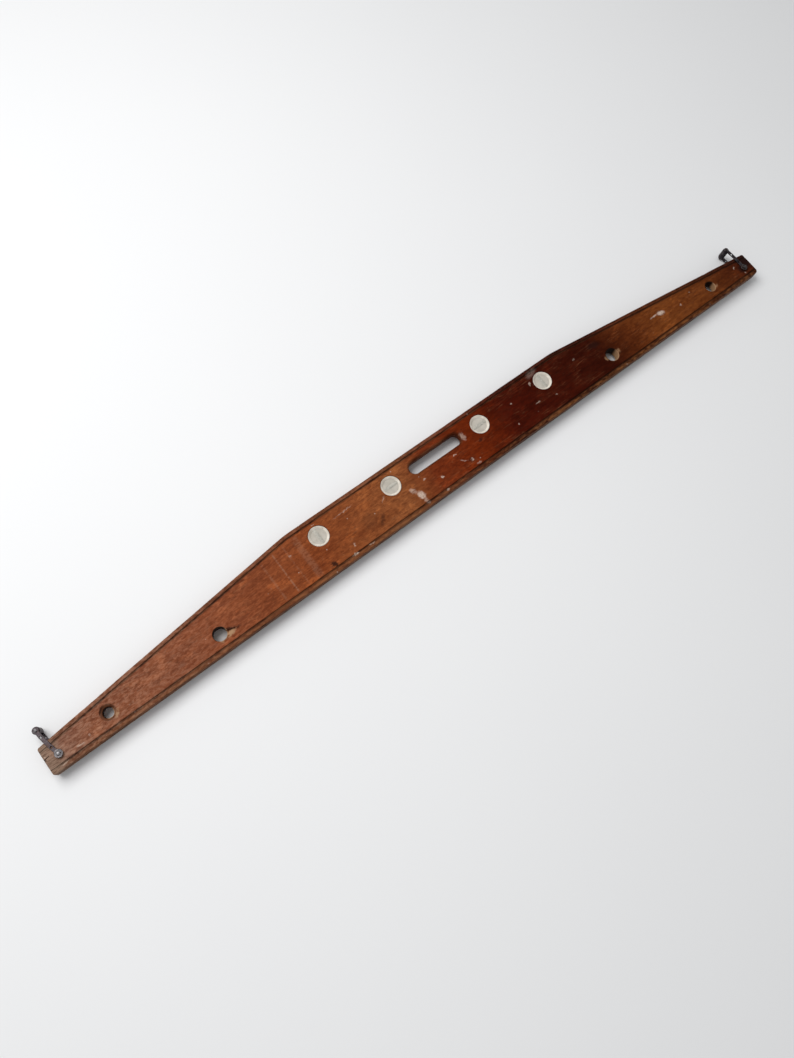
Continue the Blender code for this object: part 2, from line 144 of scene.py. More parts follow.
# ---- node graphs
class Graph:
    """A material's node tree, with short calls for the nodes that the finishes share."""

    def __init__(self, name):
        self.material = bpy.data.materials.new(name)
        self.material.use_nodes = True
        self.tree = self.material.node_tree
        self.shader = self.tree.nodes["Principled BSDF"]
        self.point = self.add("ShaderNodeTexCoord").outputs["Object"]

    def add(self, kind, **settings):
        node = self.tree.nodes.new(kind)
        for key, value in settings.items():
            setattr(node, key, value)
        return node

    def put(self, socket, value):
        """Links an output to a socket, or sets the socket to a plain value."""
        if isinstance(value, bpy.types.NodeSocket):
            self.tree.links.new(value, socket)
        elif hasattr(value, "__len__") and len(socket.default_value) == 4:
            socket.default_value = (*value, 1.0)[:4]
        else:
            socket.default_value = value

    def math(self, operation, first, second=0.0, third=0.0, clamp=False):
        node = self.add("ShaderNodeMath", operation=operation, use_clamp=clamp)
        for socket, value in zip(node.inputs, (first, second, third)):
            self.put(socket, value)
        return node.outputs[0]

    def times(self, first, second):
        return self.math("MULTIPLY", first, second)

    def plus(self, first, second):
        return self.math("ADD", first, second)

    def most(self, *values):
        result = values[0]
        for value in values[1:]:
            result = self.math("MAXIMUM", result, value)
        return result

    def blend(self, *parts):
        """Sum of (value, weight) pairs."""
        total = self.times(*parts[0])
        for value, weight in parts[1:]:
            total = self.plus(total, self.times(value, weight))
        return total

    def vector(self, operation, *values):
        """Vector maths; a length, a distance or a dot product comes out as a number."""
        node = self.add("ShaderNodeVectorMath", operation=operation)
        for socket, value in zip(node.inputs, values):
            self.put(socket, value)
        single = operation in ("LENGTH", "DISTANCE", "DOT_PRODUCT")
        return node.outputs["Value" if single else "Vector"]

    def split(self, vector):
        node = self.add("ShaderNodeSeparateXYZ")
        self.put(node.inputs[0], vector)
        return node.outputs

    def noise(self, vector, scale, detail=3.0, roughness=0.55, distortion=0.0,
              shift=(0, 0, 0), turn=0.0):
        """Noise of one scale, or, moved and turned, of a scale each way for a triple."""
        if isinstance(scale, tuple):
            place = self.add("ShaderNodeMapping")
            self.put(place.inputs["Vector"], vector)
            place.inputs["Scale"].default_value = scale
            place.inputs["Location"].default_value = shift
            place.inputs["Rotation"].default_value = (0.0, 0.0, turn)
            vector, scale = place.outputs[0], 1.0
        node = self.add("ShaderNodeTexNoise")
        self.put(node.inputs["Vector"], vector)
        node.inputs["Scale"].default_value = scale
        node.inputs["Detail"].default_value = detail
        node.inputs["Roughness"].default_value = roughness
        node.inputs["Distortion"].default_value = distortion
        return node.outputs[0]

    def cells(self, vector, scale):
        node = self.add("ShaderNodeTexVoronoi")
        self.put(node.inputs["Vector"], vector)
        node.inputs["Scale"].default_value = scale
        return node

    def band(self, value, low, high, to_low=0.0, to_high=1.0):
        """Smooth step of a value from low to high, clamped."""
        node = self.add("ShaderNodeMapRange", interpolation_type="SMOOTHSTEP")
        self.put(node.inputs[0], value)
        for index, number in enumerate((low, high, to_low, to_high)):
            node.inputs[index + 1].default_value = number
        return node.outputs[0]

    def ramp(self, value, stops):
        """Colour ramp: stops are (place, colour)."""
        node = self.add("ShaderNodeValToRGB")
        self.put(node.inputs[0], value)
        elements = node.color_ramp.elements
        while len(elements) < len(stops):
            elements.new(0.5)
        for element, (place, color) in zip(elements, stops):
            element.position = place
            element.color = (*color, 1.0)
        return node.outputs[0]

    def mix(self, factor, first, second, blend="MIX"):
        node = self.add("ShaderNodeMix", data_type="RGBA", blend_type=blend)
        self.put(node.inputs[0], factor)
        self.put(node.inputs[6], first)
        self.put(node.inputs[7], second)
        return node.outputs[2]

    def bump(self, value, distance, strength=1.0, below=None):
        node = self.add("ShaderNodeBump")
        self.put(node.inputs["Height"], value)
        node.inputs["Distance"].default_value = distance
        node.inputs["Strength"].default_value = strength
        if below is not None:
            self.put(node.inputs["Normal"], below)
        return node.outputs[0]

    def finish(self, color, rough, normal=None, **constants):
        self.put(self.shader.inputs["Base Color"], color)
        self.put(self.shader.inputs["Roughness"], rough)
        if normal is not None:
            self.put(self.shader.inputs["Normal"], normal)
        for label, value in constants.items():
            self.shader.inputs[label.replace("_", " ")].default_value = value
        return self.material


# ---- the wood
MM = 0.001

# marks on the front face, lengths in millimetres:
# x, height, half length, half width, turn in degrees, strength
PALE_MARKS = (
    (-53, 19.5, 6.6, 5, -70, 0.9),          # big ragged paint smear
    (-59, 30, 5.5, 3.4, -60, 0.5),
    (-52, 8.5, 5.5, 3, -80, 0.45),
    (-36, 34.7, 1.8, 1.2, 0, 0.55),
    (-13.9, 23.2, 2.7, 1.5, -15, 0.7),
    (19.7, 37.9, 3.4, 1.1, 5, 0.75),
    (25.7, 24.4, 6, 0.8, -35, 0.4),
    (36.4, 19, 2, 2.5, 0, 0.65),
    (40.8, 10.1, 4, 1.2, 0, 0.35),
    (-18.2, 4.7, 2.8, 0.9, 0, 0.6),
    (46.6, 53, 3.4, 7, 0, 0.38),            # worn end of the slot, painted pale where light falls on its rim
    (-173.1, 6.1, 4.8, 1.7, 0, 0.75),
    (-147, 5.1, 4.4, 0.7, 0, 0.55),
    (-167.3, 17, 2.8, 1.2, 55, 0.5),
    (-153.5, 61.8, 16, 0.6, 3, 0.45),
    (-98.4, 45, 6, 1.2, 35, 0.3),
    (-195.6, 70.6, 2, 0.8, 0, 0.6),
    (-242.9, 53.8, 1.7, 1.3, 0, 0.4),
    (-568, 11.7, 5, 1.4, -8, 0.45),
    (-554.4, 15.1, 1.8, 1.4, 0, 0.45),
    (-592.5, 4.5, 5, 1.1, 4, 0.45),
    (409, 36.8, 7, 1.1, 0, 0.65),
    (423, 35.2, 7.2, 3.8, -12, 0.9),        # leaf-shaped scuff
    (459.9, 27.9, 2.2, 1.4, 20, 0.45),
    (579, 27, 3, 1.2, 60, 0.55),
    (590, 10, 1.4, 1, 0, 0.6),
    (177.5, 60.3, 3, 1.8, 60, 0.45),        # chips at the right plumb window
    (190, 72, 11, 5.2, 15, 0.16),
    (169, 31.2, 4.4, 1, 0, 0.4),
    (257.5, 53.2, 2.4, 1.2, 0, 0.45),
    (200, 25.2, 1.6, 1.2, 0, 0.45),
    (134.8, 52, 1.3, 1, 0, 0.45),
    (124.1, 21.8, 1.3, 1, 0, 0.45),
)
# places where the finish is torn off down to bare wood; on the torn wedge and on two countersinks it is laid only
# on the side where light falls, as a painted highlight
BARE_AND_LIT_MARKS = (
    (-359, 16.8, 9.5, 3.6, 8, 0.9),         # the torn wedge, bare wood painted pale on its lower slope, where light falls
    (-372, 14, 3, 1.8, 0, 0.7),
    (-516, 17.8, 6, 2.6, 45, 0.75),         # painted highlight: bare wood on the lit lower rim of the countersunk hole
    (300, 26.2, 2.6, 4, 0, 0.6),            # chipped rim of a through-hole
    (324.5, 25, 2.2, 4, 0, 0.6),
    # painted highlight: bare wood on the lit lower rim of the right end hole's countersink
    (533, 20, 4, 2, 45, 0.5),
)
# dark marks on the face, and painted shade under the torn wedge's lip and in a countersink
DARK_AND_SHADE_MARKS = (
    (-203, 11.2, 3.6, 5, 35, 0.85),         # burn by the working edge
    (-116, 23.3, 11, 2.8, 48, 0.45),
    (35.7, 19.5, 6, 5, 0, 0.35),
    (-129.3, 31.8, 16, 9, 30, 0.25),
    (64.2, 34.8, 4, 2.6, 20, 0.6),
    (297.2, 53.4, 12, 6, -10, 0.45),
    (-606.2, 21.9, 4.4, 0.7, 10, 0.75),     # split at the left end
    (-608, 20, 2.2, 0.7, -34, 0.7),
    (601, 26, 12, 13, 0, 0.88),             # oily patch round the right pivot
    (589, 18, 7, 8, 0, 0.7),
    (593, 34, 7, 6, 0, 0.6),
    (-356, 22.4, 8, 1.7, -22, 0.75),        # painted shade on the steep lip of the torn wedge
    (-346, 18, 4, 1.4, 0, 0.5),
    (-530, 31, 6, 2.4, 45, 0.55),           # painted shade on the upper left of the countersink
)
# lines left by strips of tape, lengths in millimetres: x, half width, strength
TAPE_GHOSTS = (
    (-279, 2.2, 0.1),
    (-260.5, 1.6, 0.2),
    (-244, 1.8, 0.07),
    (-226, 7, 0.1),
)
BARE_WOOD = (0.37, 0.215, 0.115)
# colour along the board: dusty red-brown, warm brown, near-black, golden, dark red
COLOR_STOPS = (
    (0.0, (0.225, 0.122, 0.085)),
    (0.05, (0.219, 0.074, 0.036)),
    (0.2, (0.21, 0.056, 0.021)),
    (0.33, (0.198, 0.046, 0.012)),
    (0.445, (0.225, 0.07, 0.022)),
    (0.485, (0.142, 0.024, 0.006)),
    (0.545, (0.128, 0.016, 0.002)),
    (0.595, (0.05, 0.004, 0.0008)),
    (0.74, (0.03, 0.0034, 0.0008)),
    (0.79, (0.1, 0.022, 0.0045)),
    (0.84, (0.165, 0.044, 0.009)),
    (0.92, (0.128, 0.032, 0.0065)),
    (0.98, (0.05, 0.0078, 0.0016)),
)
# fine scratches: stretch of the noise, its turn in radians, strength
SCRATCHES = (
    ((11, 230, 11), 0.16, 0.3),
    ((9, 190, 9), -0.62, 0.22),
    ((14, 260, 14), 1.25, 0.16),
)


class Wood(Graph):
    """Worn mahogany, coat by coat, from the base colour up to the dust."""

    def __init__(self):
        super().__init__("worn_mahogany")
        self.x, y, self.z = self.split(self.point)
        self.flat = self.vector("MULTIPLY", self.point, (1.0, 1.0, 0.0))
        self.front = self.band(self.z, FRONT_Z - 0.003, FRONT_Z - 0.0015)

        # distance to the nearest long edge, for the scribed lines and the worn borders
        reach = self.math("ABSOLUTE", self.x)
        taper = self.plus(self.times(reach, -TAPER), height(END_WIDTH) + TAPER * HALF_LENGTH)
        self.from_top = self.math("SUBTRACT", self.math("MINIMUM", taper, HALF_WIDTH), y)
        self.from_low = self.plus(y, HALF_WIDTH)
        self.from_edge = self.math("MINIMUM", self.from_top, self.from_low)

        # grain: long wavering streaks with ribbon figure and short dark pores
        waver = self.noise(self.point, (2.2, 9.0, 9.0), 2.0)
        push = self.add("ShaderNodeCombineXYZ")
        self.put(push.inputs[1], self.times(self.plus(waver, -0.5), 0.022))
        grain = self.vector("ADD", self.point, push.outputs[0])
        self.broad = self.noise(grain, (16.0, 120.0, 120.0), 4.0, 0.62)
        self.mottle = self.noise(grain, (150.0, 330.0, 330.0), 5.0, 0.68, 0.3)
        self.fine = self.noise(grain, (90.0, 1100.0, 1100.0), 4.0, 0.65)
        pores = self.noise(grain, (210.0, 1500.0, 1500.0), 3.0, 0.6)
        self.pores = self.band(pores, 0.57, 0.67)

        # unevenness that doesn't follow the grain
        self.blotch = self.noise(self.point, (42.0, 78.0, 78.0), 5.0, 0.64, 0.6)
        self.patch = self.noise(self.point, (30.0, 50.0, 50.0), shift=(2.0, 5.0, 0.0))
        self.wobble = self.noise(self.point, (60.0, 60.0, 60.0), 2.0)

        # place along the board from 0 to 1, blurred so that no colour ends in a line
        cloud = self.noise(self.point, (3.4, 10.0, 10.0), 2.0, shift=(4.0, 0.0, 0.0))
        place = self.math("MULTIPLY_ADD", self.x, 0.5 / HALF_LENGTH, 0.5)
        self.place = self.plus(place, self.times(self.plus(cloud, -0.5), 0.055))
        self.color = self.ramp(self.place, COLOR_STOPS)

    def coat(self, mask, color):
        """Lays a colour over the wood where the mask is."""
        self.color = self.mix(mask, self.color, color)

    def figure(self):
        """Light and dark grain, pores, clouds of old finish and rubbed patches."""
        tone = self.blend((self.broad, 0.22), (self.fine, 0.26), (self.mottle, 0.34),
                          (self.blotch, 0.3))
        light = self.band(tone, 0.42, 0.72, 0.62, 1.44)
        shade = self.add("ShaderNodeCombineColor")
        self.put(shade.inputs[0], light)
        self.put(shade.inputs[1], self.math("POWER", light, 1.25))
        self.put(shade.inputs[2], self.math("POWER", light, 1.35))
        self.color = self.mix(1.0, self.color, shade.outputs[0], "MULTIPLY")
        self.coat(self.times(self.pores, 0.5), (0.02, 0.006, 0.002))
        self.coat(self.band(self.blotch, 0.52, 0.72, 0.0, 0.4), (0.045, 0.01, 0.004))
        rubbed = self.plus(self.patch, self.times(self.plus(self.mottle, -0.5), 0.5))
        brighter = self.mix(1.0, self.color, (2.1, 2.1, 1.8), "MULTIPLY")
        self.coat(self.band(rubbed, 0.54, 0.68, 0.0, 0.24), brighter)

    def scratches(self):
        scuffed = self.band(self.patch, 0.46, 0.6)
        for stretch, turn, strength in SCRATCHES:
            ridge = self.noise(self.point, stretch, 1.0, shift=(3, 8, 1), turn=turn)
            ridge = self.math("ABSOLUTE", self.plus(ridge, -0.5))
            thin = self.times(self.band(ridge, 0.01, 0.002), scuffed)
            self.coat(self.times(thin, strength), (0.26, 0.11, 0.05))

    def borders(self):
        """Paler, greyer wood outside the scribed lines, and dirt in the lines."""
        border = self.band(self.from_edge, GROOVE_MARGIN, GROOVE_MARGIN - 0.0018)
        upper = self.math("SUBTRACT", self.from_low, self.from_top)
        streaky = self.band(self.blend((self.mottle, 0.6), (self.broad, 0.4)), 0.42, 0.6)
        rightward = self.band(self.place, 0.45, 0.6)
        pale_low = self.mix(self.band(self.place, 0.45, 0.7), (0.2, 0.085, 0.036),
                            (0.2, 0.08, 0.028))
        pale_top = self.mix(rightward, (0.225, 0.092, 0.052), (0.075, 0.02, 0.012))
        dark = self.mix(rightward, (0.1, 0.036, 0.016), (0.022, 0.006, 0.003))
        pale = self.mix(self.band(upper, -0.002, 0.002), pale_low, pale_top)
        self.coat(self.times(border, 0.7), self.mix(streaky, dark, pale))
        off_line = self.math("ABSOLUTE", self.plus(self.from_edge, -GROOVE_MARGIN))
        width = self.plus(self.times(self.wobble, 0.0026), 0.001)
        line = self.math("SUBTRACT", 1.0, self.math("DIVIDE", off_line, width), clamp=True)
        self.coat(self.times(line, 0.9), (0.012, 0.004, 0.002))

    def handled_edges(self):
        """Rounded edges: paler on the left, dark with dirt on the right."""
        half_thickness = FRONT_Z - MID_Z
        on_face = self.band(self.math("ABSOLUTE", self.plus(self.z, -MID_Z)),
                            half_thickness - 0.0012, half_thickness - 0.0001)
        tone = self.mix(self.band(self.blotch, 0.4, 0.6), (0.036, 0.012, 0.005),
                        (0.15, 0.06, 0.026))
        share = self.band(self.place, 0.48, 0.66, 0.65, 0.2)
        self.coat(self.times(self.math("SUBTRACT", 1.0, on_face), share), tone)

    def grey_end(self):
        """Weathers the left end grey; returns where."""
        ragged_x = self.plus(self.x, self.times(self.plus(self.wobble, -0.5), 0.03))
        grey = self.band(ragged_x, -HALF_LENGTH + 0.028, -HALF_LENGTH + 0.006, 0.0, 0.75)
        self.coat(grey, self.mix(self.band(self.fine, 0.35, 0.65), (0.12, 0.075, 0.05),
                                 (0.3, 0.205, 0.15)))
        return grey

    def mask(self, marks, point):
        """The strongest of a set of soft ellipses on the face."""
        masks = []
        for x, above_edge, half_length, half_width, turn, strength in marks:
            spot = self.add("ShaderNodeMapping", vector_type="TEXTURE")
            self.put(spot.inputs["Vector"], point)
            spot.inputs["Location"].default_value = (x * MM, height(above_edge * MM), 0.0)
            spot.inputs["Rotation"].default_value = (0.0, 0.0, math.radians(turn))
            spot.inputs["Scale"].default_value = (half_length * MM, half_width * MM, 1.0)
            from_middle = self.vector("LENGTH", spot.outputs[0])
            masks.append(self.band(from_middle, 1.25, 0.45, 0.0, strength))
        return self.most(*masks)

    def marks(self):
        """Lays on the bare wood marks, some of them painted highlights on lit rims, and the dark marks, some of
        them painted shade; returns the masks of the pale and the dark.
        """
        fray = self.noise(self.point, 420.0, 3.0, 0.5).node.outputs["Color"]
        fray = self.vector("SUBTRACT", fray, (0.5, 0.5, 0.5))
        ragged = self.vector("MULTIPLY_ADD", fray, (0.0062, 0.0062, 0.0), self.flat)
        streaks = self.band(self.blend((self.fine, 0.5), (self.mottle, 0.5)),
                            0.38, 0.54, 0.15, 1.0)
        pale = self.times(self.times(self.mask(PALE_MARKS, ragged), self.front), streaks)
        # bare wood, with painted highlights on the lit rims of the countersinks and the torn wedge
        bare_and_lit = self.times(self.mask(BARE_AND_LIT_MARKS, ragged), self.band(self.mottle, 0.3, 0.52))
        bare_and_lit = self.times(bare_and_lit, self.band(self.z, FRONT_Z - 0.0048, FRONT_Z - 0.0036))
        # dark marks, with painted shade on the torn wedge's lip and in a countersink
        dark = self.times(self.mask(DARK_AND_SHADE_MARKS, ragged), self.front)
        self.coat(bare_and_lit, BARE_WOOD)
        self.coat(dark, (0.014, 0.006, 0.005))
        return pale, dark

    def tape_ghosts(self):
        strips = []
        for strip_x, half_width, strength in TAPE_GHOSTS:
            off = self.math("ABSOLUTE", self.plus(self.x, -strip_x * MM))
            strips.append(self.band(off, half_width * MM, half_width * MM * 0.3, 0.0, strength))
        ghost = self.times(self.most(*strips), self.band(self.from_edge, 0.007, 0.012))
        ghost = self.times(self.times(ghost, self.front), self.band(self.mottle, 0.36, 0.56))
        self.coat(ghost, (0.42, 0.3, 0.21))

    def hole_walls(self):
        """Painted shade, near black, on the through-holes' upper walls, and bare wood on their lower right walls,
        which face the light.
        """
        lit_way = Vector((0.55, -0.84, 0.0))
        for name, (bore, _) in HOLE_SIZES.items():
            centre = box_centre(OPENINGS[name])
            centre.z = 0.0
            away = self.vector("DISTANCE", self.flat, centre)
            aside = self.plus(self.vector("DOT_PRODUCT", self.flat, lit_way),
                              -lit_way.dot(centre))
            # painted shade on the walls turned from the light, bare wood on those lit by it
            wall = self.mix(self.band(aside, 0.05 * bore, 0.55 * bore),
                            (0.012, 0.006, 0.004), BARE_WOOD)
            self.coat(self.band(away, bore + 0.0009, bore + 0.0004, 0.0, 0.92), wall)

    def dust(self, pale):
        """The pale marks, specks of mortar, and dust that thickens towards the left."""
        cells = self.cells(self.flat, 150.0)
        speck = self.times(self.band(cells.outputs["Distance"], 0.16, 0.06),
                           self.band(self.split(cells.outputs["Color"])[0], 0.955, 0.975))
        speck = self.times(speck, self.times(self.front, 0.55))
        self.coat(self.most(speck, pale), (0.6, 0.475, 0.39))
        film = self.times(self.band(self.mottle, 0.4, 0.7),
                          self.band(self.place, 0.3, 0.02, 0.0, 0.26))
        self.coat(self.times(film, self.front), (0.42, 0.28, 0.2))


def make_wood():
    wood = Wood()
    wood.figure()
    wood.scratches()
    wood.borders()
    wood.handled_edges()
    grey = wood.grey_end()
    pale, dark = wood.marks()
    wood.tape_ghosts()
    wood.hole_walls()
    wood.dust(pale)
    rough = wood.plus(wood.band(wood.broad, 0.3, 0.7, 0.34, 0.52),
                      wood.times(wood.most(pale, grey, dark), 0.3))
    rough = wood.plus(rough, wood.band(wood.place, 0.3, 0.0, 0.0, 0.12))
    relief = wood.blend((wood.fine, 0.5), (wood.pores, -0.7))
    dents = wood.noise(wood.point, (60.0, 110.0, 110.0))
    normal = wood.bump(dents, 0.0006, 0.35, wood.bump(relief, 0.00012, 0.55))
    return wood.finish(wood.color, rough, normal, Specular_IOR_Level=0.03)


# ---- other finishes
def make_plaster():
    graph = Graph("aged_plaster")
    stain = graph.noise(graph.point, (130.0, 130.0, 130.0), 4.0, 0.6)
    grit = graph.noise(graph.point, 2600.0, 3.0, 0.6)
    pits = graph.cells(graph.point, 620.0)
    pit = graph.band(pits.outputs["Distance"], 0.24, 0.1)
    pick = graph.band(graph.split(pits.outputs["Color"])[1], 0.7, 0.8)
    pit = graph.times(pit, pick)
    color = graph.mix(graph.band(stain, 0.35, 0.68), (0.6, 0.545, 0.465),
                      (0.78, 0.715, 0.625))
    color = graph.mix(graph.times(pit, 0.75), color, (0.23, 0.19, 0.15))
    # painted shade: the plaster is darker deep in the dishes, on their floors and round the vial's bed
    deep = graph.math("ABSOLUTE", graph.plus(graph.split(graph.point)[2], -MID_Z))
    dish_shade = graph.band(deep, 0.0052, 0.0044, 0.0, 0.62)
    color = graph.mix(dish_shade, color, (0.33, 0.308, 0.265))
    normal = graph.bump(grit, 0.0001, 0.5)
    normal = graph.bump(graph.times(pit, -1.0), 0.0003, 0.8, normal)
    normal = graph.bump(stain, 0.0008, 0.3, normal)
    return graph.finish(color, graph.band(grit, 0.3, 0.7, 0.78, 0.95), normal)


def make_glass():
    """Old glass gone milky: scoured by lime and filmed with plaster dust."""
    graph = Graph("vial_glass")
    film = graph.noise(graph.point, 380.0, 4.0)
    dust = graph.noise(graph.point, 1500.0, 3.0)
    color = graph.mix(graph.band(film, 0.36, 0.68), (0.4, 0.38, 0.33),
                      (0.52, 0.495, 0.43))
    color = graph.mix(graph.band(dust, 0.58, 0.74, 0.0, 0.4), color, (0.4, 0.365, 0.31))
    rough = graph.band(film, 0.4, 0.75, 0.5, 0.72)
    return graph.finish(color, rough, None, Transmission_Weight=0.08, IOR=1.47,
                        Specular_IOR_Level=0.3)


def make_spirit():
    graph = Graph("old_spirit")
    haze = graph.noise(graph.point, 260.0, 2.0)
    color = graph.mix(haze, (0.68, 0.68, 0.58), (0.78, 0.77, 0.68))
    return graph.finish(color, graph.band(haze, 0.3, 0.7, 0.1, 0.2), None,
                        Transmission_Weight=0.3, IOR=1.36)


def make_ink():
    """The vial's line paint, almost worn away."""
    graph = Graph("vial_line_paint")
    chips = graph.noise(graph.point, 1800.0, 2.0)
    color = graph.mix(graph.band(chips, 0.4, 0.6), (0.44, 0.41, 0.36), (0.6, 0.57, 0.5))
    return graph.finish(color, graph.band(chips, 0.3, 0.7, 0.5, 0.8))


def make_metal(name, dark, mid, bare, rust_share, shine):
    """Aged steel: mottled oxide, bare rubbed patches and a little rust."""
    graph = Graph(name)
    mottle = graph.noise(graph.point, 420.0, 5.0, 0.65, 0.4)
    scratch = graph.noise(graph.point, (240.0, 2600.0, 2600.0), turn=0.5)
    worn = graph.band(graph.plus(mottle, graph.times(scratch, 0.35)), 0.66, 0.86)
    color = graph.mix(graph.band(mottle, 0.35, 0.62), dark, mid)
    color = graph.mix(graph.times(worn, shine), color, bare)
    rust = graph.band(graph.noise(graph.point, 190.0, 4.0, 0.7), 0.56, 0.68, 0.0, rust_share)
    color = graph.mix(rust, color, (0.11, 0.042, 0.02))
    rough = graph.plus(graph.band(mottle, 0.3, 0.7, 0.36, 0.58), graph.times(rust, 0.35))
    metal = graph.math("SUBTRACT", 0.9, graph.times(rust, 0.8))
    graph.put(graph.shader.inputs["Metallic"], metal)
    normal = graph.bump(mottle, 0.00022, 0.7)
    normal = graph.bump(scratch, 0.00004, 0.6, normal)
    return graph.finish(color, rough, normal)


# ---- mesh helpers
SHARP_ANGLE = 32.0          # degrees; flatter edges are shaded smooth


def new_object(name, work, material):
    """An object from a bmesh, with its faces out, shaded smooth but for its sharp edges."""
    bmesh.ops.remove_doubles(work, verts=work.verts, dist=1e-6)
    bmesh.ops.recalc_face_normals(work, faces=work.faces)
    mesh = bpy.data.meshes.new(name)
    work.to_mesh(mesh)
    work.free()
    mesh.shade_smooth()
    mesh.set_sharp_from_angle(angle=math.radians(SHARP_ANGLE))
    if material is not None:
        mesh.materials.append(material)
    piece = bpy.data.objects.new(name, mesh)
    scene.collection.objects.link(piece)
    return piece


def stack(rings, closed=False):
    """A bmesh of rings of equal count joined by quads, capped unless they close on
    themselves."""
    work = bmesh.new()
    layers = [[work.verts.new(point) for point in ring] for ring in rings]
    count = len(layers[0])
    pairs = list(zip(layers, layers[1:]))
    if closed:
        pairs.append((layers[-1], layers[0]))
    for upper, lower in pairs:
        for index in range(count):
            after = (index + 1) % count
            work.faces.new((upper[index], upper[after], lower[after], lower[index]))
    if not closed:
        work.faces.new(layers[0])
        work.faces.new(reversed(layers[-1]))
    return work


def carve(piece, cutters, sharp=SHARP_ANGLE):
    """Subtracts the cutters and keeps the result as the piece's own mesh."""
    for cutter in cutters:
        modifier = piece.modifiers.new("cut", "BOOLEAN")
        modifier.operation = "DIFFERENCE"
        modifier.solver = "EXACT"
        modifier.object = cutter
    bpy.context.view_layer.update()
    evaluated = piece.evaluated_get(bpy.context.evaluated_depsgraph_get())
    mesh = bpy.data.meshes.new_from_object(evaluated)
    mesh.name = piece.name
    piece.modifiers.clear()
    piece.data = mesh
    mesh.shade_smooth()
    mesh.set_sharp_from_angle(angle=math.radians(sharp))
    for cutter in cutters:
        bpy.data.objects.remove(cutter, do_unlink=True)


def flat_normals(piece):
    """Lets the large flat faces set the shading, so that small rounded edges blend in."""
    modifier = piece.modifiers.new("face_weighted_normals", "WEIGHTED_NORMAL")
    modifier.keep_sharp = True
    modifier.weight = 90


def turned_rings(profile, segments, wobble=0.0, seed=0.0):
    """Rings of a turned shape about Z: profile points are (radius, z)."""
    rings = []
    for radius, z in profile:
        ring = []
        for index in range(segments):
            angle = math.tau * index / segments
            unit = Vector((math.cos(angle), math.sin(angle), 0.0))
            drift = wobble * noise.noise(unit * 2.6 + Vector((seed, z * 900, 0.0)))
            ring.append(unit * max(radius + drift, 1e-5) + Vector((0.0, 0.0, z)))
        rings.append(ring)
    return rings


def turned(name, profile, segments, lay, material=None, closed=False, wobble=0.0, seed=0.0):
    """A turned piece, laid in place by a matrix."""
    rings = turned_rings(profile, segments, wobble, seed)
    piece = new_object(name, stack(rings, closed), material)
    piece.data.transform(lay)
    return piece


def above(spot):
    """Moves a shape from the Z axis to a place on the board, at its own height."""
    return Matrix.Translation((spot.x, spot.y, 0.0))


def arc(centre_r, centre_z, radius, start, end, steps):
    """Profile points on an arc; angles in degrees from the radius direction."""
    points = []
    for step in range(steps + 1):
        angle = math.radians(start + (end - start) * step / steps)
        points.append((centre_r + radius * math.cos(angle),
                       centre_z + radius * math.sin(angle)))
    return points


# ---- the board
OUTLINE_STEP = 0.0035       # spacing of the points along the outline
EDGE_STEPS = 5              # steps round each worn edge
EDGE_ROUNDING = 0.00135     # mean radius of the worn edges
COARSE_ROUNDING = 0.002     # rims rounder than this get twice the steps
CUT_PAST = 0.002            # how far the hole cutters reach past the faces
LINE_RADIUS = 0.00115       # mean radius of the scribed lines
LINE_STEP = 0.006           # spacing of the places where it wavers
PIVOT_BORE = 0.0023


def rounded_outline(corners, step):
    """A closed outline with filleted corners (x, y, radius), about one point a step."""
    arcs = []
    count = len(corners)
    for index, (x, y, radius) in enumerate(corners):
        corner = Vector((x, y))
        before = (Vector(corners[index - 1][:2]) - corner).normalized()
        after = (Vector(corners[(index + 1) % count][:2]) - corner).normalized()
        half_angle = before.angle(after) / 2
        centre = corner + (before + after).normalized() * radius / math.sin(half_angle)
        start = corner + before * radius / math.tan(half_angle) - centre
        end = corner + after * radius / math.tan(half_angle) - centre
        turn = start.angle_signed(end)
        pieces = max(6, round(abs(turn) * radius / step))
        arcs.append([centre + Matrix.Rotation(-turn * k / pieces, 2) @ start
                     for k in range(pieces + 1)])
    points = []
    for index, stretch in enumerate(arcs):
        points.extend(stretch)
        run = arcs[(index + 1) % count][0] - stretch[-1]
        pieces = max(1, round(run.length / step))
        points.extend(stretch[-1] + run * k / pieces for k in range(1, pieces))
    return points


def inward_normals(points):
    """Unit normals pointing into an anticlockwise outline."""
    count = len(points)
    normals = []
    for index in range(count):
        run = points[(index + 1) % count] - points[index - 1]
        normals.append(Vector((-run.y, run.x)).normalized())
    return normals


def board_corners():
    return (
        (-HALF_LENGTH, -HALF_WIDTH, CORNER_RADIUS),
        (HALF_LENGTH, -HALF_WIDTH, WORN_CORNER_RADIUS),
        (HALF_LENGTH, height(END_WIDTH), CORNER_RADIUS),
        (KINK_X, HALF_WIDTH, KINK_RADIUS),
        (-KINK_X, HALF_WIDTH, KINK_RADIUS),
        (-HALF_LENGTH, height(END_WIDTH), CORNER_RADIUS),
    )


